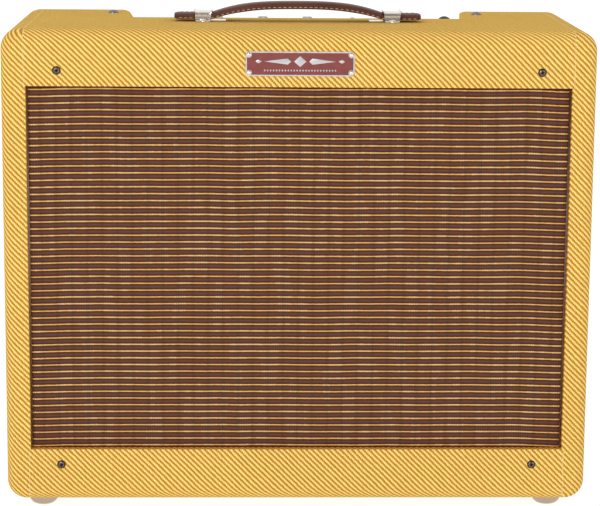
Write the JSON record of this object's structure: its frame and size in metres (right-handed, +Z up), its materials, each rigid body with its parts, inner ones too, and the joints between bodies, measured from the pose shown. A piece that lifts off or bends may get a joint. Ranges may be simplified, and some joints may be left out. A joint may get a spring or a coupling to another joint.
{
  "type": "guitar amplifier",
  "caption": "Valve guitar amplifier in a twill-covered box cabinet with striped grille cloth, strap handle, top-notch controls, open back and one speaker.",
  "frame": {"origin": "middle of the covered floor area, on the floor under the feet", "axes": "+X to the right seen from the front, +Y to the back, +Z up"},
  "size_m": [0.508, 0.2426, 0.4424],
  "materials": {
    "pine": "raw sanded",
    "plywood": "raw sanded",
    "twill": "lacquered diagonal twill",
    "grille_weave": "woven with gilt stripes",
    "dark_nickel": "dark nickel",
    "nickel": "polished nickel",
    "satin_metal": "satin",
    "strap_leather": "waxed",
    "chrome_plate": "polished",
    "zinc_steel": "zinc plated",
    "black_plastic": "moulded",
    "knob_brown": "moulded",
    "jewel_red": "faceted",
    "transformer_black": "satin",
    "valve_glass": "clear",
    "electrode_metal": "blackened",
    "socket_ceramic": "unglazed",
    "board_fibre": "waxed fibre board",
    "capacitor_yellow": "moulded",
    "gasket_cork": "pressed",
    "cone_paper": "felted, ribbed",
    "spider_cloth": "resin treated",
    "coil_former": "varnished",
    "magnet_paint": "painted",
    "lead_rubber": "matt"
  },
  "bodies": {
    "cabinet": {"back_cleats": "pine", "badge_plate": "nickel", "badge_rivets": "nickel", "baffle_bolts": "dark_nickel", "board_components": "capacitor_yellow", "bottom_cloth": "twill", "bottom_panel": "pine", "chassis": "chrome_plate", "chassis_bolts": "dark_nickel", "cone_edge": "cone_paper", "eyelet_board": "board_fibre", "front_rails": "pine", "fuse_holder": "black_plastic", "glide_feet": "satin_metal", "grille_cloth": "grille_weave", "handle_clips": "nickel", "left_side_cloth": "twill", "left_side_panel": "pine", "lower_back_panel": "twill", "mains_inlet": "black_plastic", "output_transformer": "transformer_black", "panel_nuts": "nickel", "pilot_lamp_holder": "nickel", "pilot_lamp_jewel": "jewel_red", "potentiometers": "zinc_steel", "power_switch": "black_plastic", "power_transformer": "transformer_black", "power_tubes": "valve_glass", "preamp_tubes": "valve_glass", "quarter_inch_jacks": "nickel", "rectifier_tube": "valve_glass", "right_side_cloth": "twill", "right_side_panel": "pine", "speaker_baffle": "plywood", "speaker_frame": "zinc_steel", "speaker_gasket": "gasket_cork", "speaker_lead": "lead_rubber", "speaker_magnet": "magnet_paint", "speaker_plug": "black_plastic", "speaker_spider": "spider_cloth", "speaker_terminals": "board_fibre", "top_cloth": "twill", "top_panel": "pine", "tube_bases": "black_plastic", "tube_electrodes": "electrode_metal", "tube_sockets": "socket_ceramic", "upper_back_panel": "twill", "wood_screws": "nickel"},
    "tone_control": {"tone_shaft": "nickel", "tone_knob": "knob_brown"},
    "volume_1_control": {"volume_1_shaft": "nickel", "volume_1_knob": "knob_brown"},
    "volume_2_control": {"volume_2_shaft": "nickel", "volume_2_knob": "knob_brown"},
    "toggle_lever": {"power_switch_lever": "nickel"},
    "fuse_cap_body": {"fuse_cap": "black_plastic"},
    "moving_cone": {"speaker_cone": "cone_paper", "voice_coil": "coil_former", "dust_cap": "cone_paper"},
    "strap": {"handle_strap": "strap_leather"}
  },
  "joints": [
    {"name": "tone_turn", "type": "hinge", "parent": "cabinet", "child": "tone_control", "pos_m": [0.011, 0.0484, 0.4048], "axis": [0, 0, 1], "range_deg": [-150, 150]},
    {"name": "volume_1_turn", "type": "hinge", "parent": "cabinet", "child": "volume_1_control", "pos_m": [-0.03, 0.0484, 0.4048], "axis": [0, 0, 1], "range_deg": [-150, 150]},
    {"name": "volume_2_turn", "type": "hinge", "parent": "cabinet", "child": "volume_2_control", "pos_m": [-0.071, 0.0484, 0.4048], "axis": [0, 0, 1], "range_deg": [-150, 150]},
    {"name": "power_toggle", "type": "hinge", "parent": "cabinet", "child": "toggle_lever", "pos_m": [0.052, 0.0484, 0.4058], "axis": [-1, 0, 0], "range_deg": [0, 24]},
    {"name": "fuse_cap_twist", "type": "hinge", "parent": "cabinet", "child": "fuse_cap_body", "pos_m": [0.137, 0.0484, 0.4048], "axis": [0, 0, 1], "range_deg": [0, 45]},
    {"name": "cone_travel", "type": "slide", "parent": "cabinet", "child": "moving_cone", "axis": [0, 1, 0], "range_m": [-0.0015, 0.0015], "stiffness_N_per_m": 5000, "deforming": ["cone_edge", "speaker_spider"]},
    {"name": "strap_lift", "type": "slide", "parent": "cabinet", "child": "strap", "axis": [0, 0, 1], "range_m": [-0.008, 0.004], "stiffness_N_per_m": 600, "deforming": ["handle_strap"]}
  ]
}
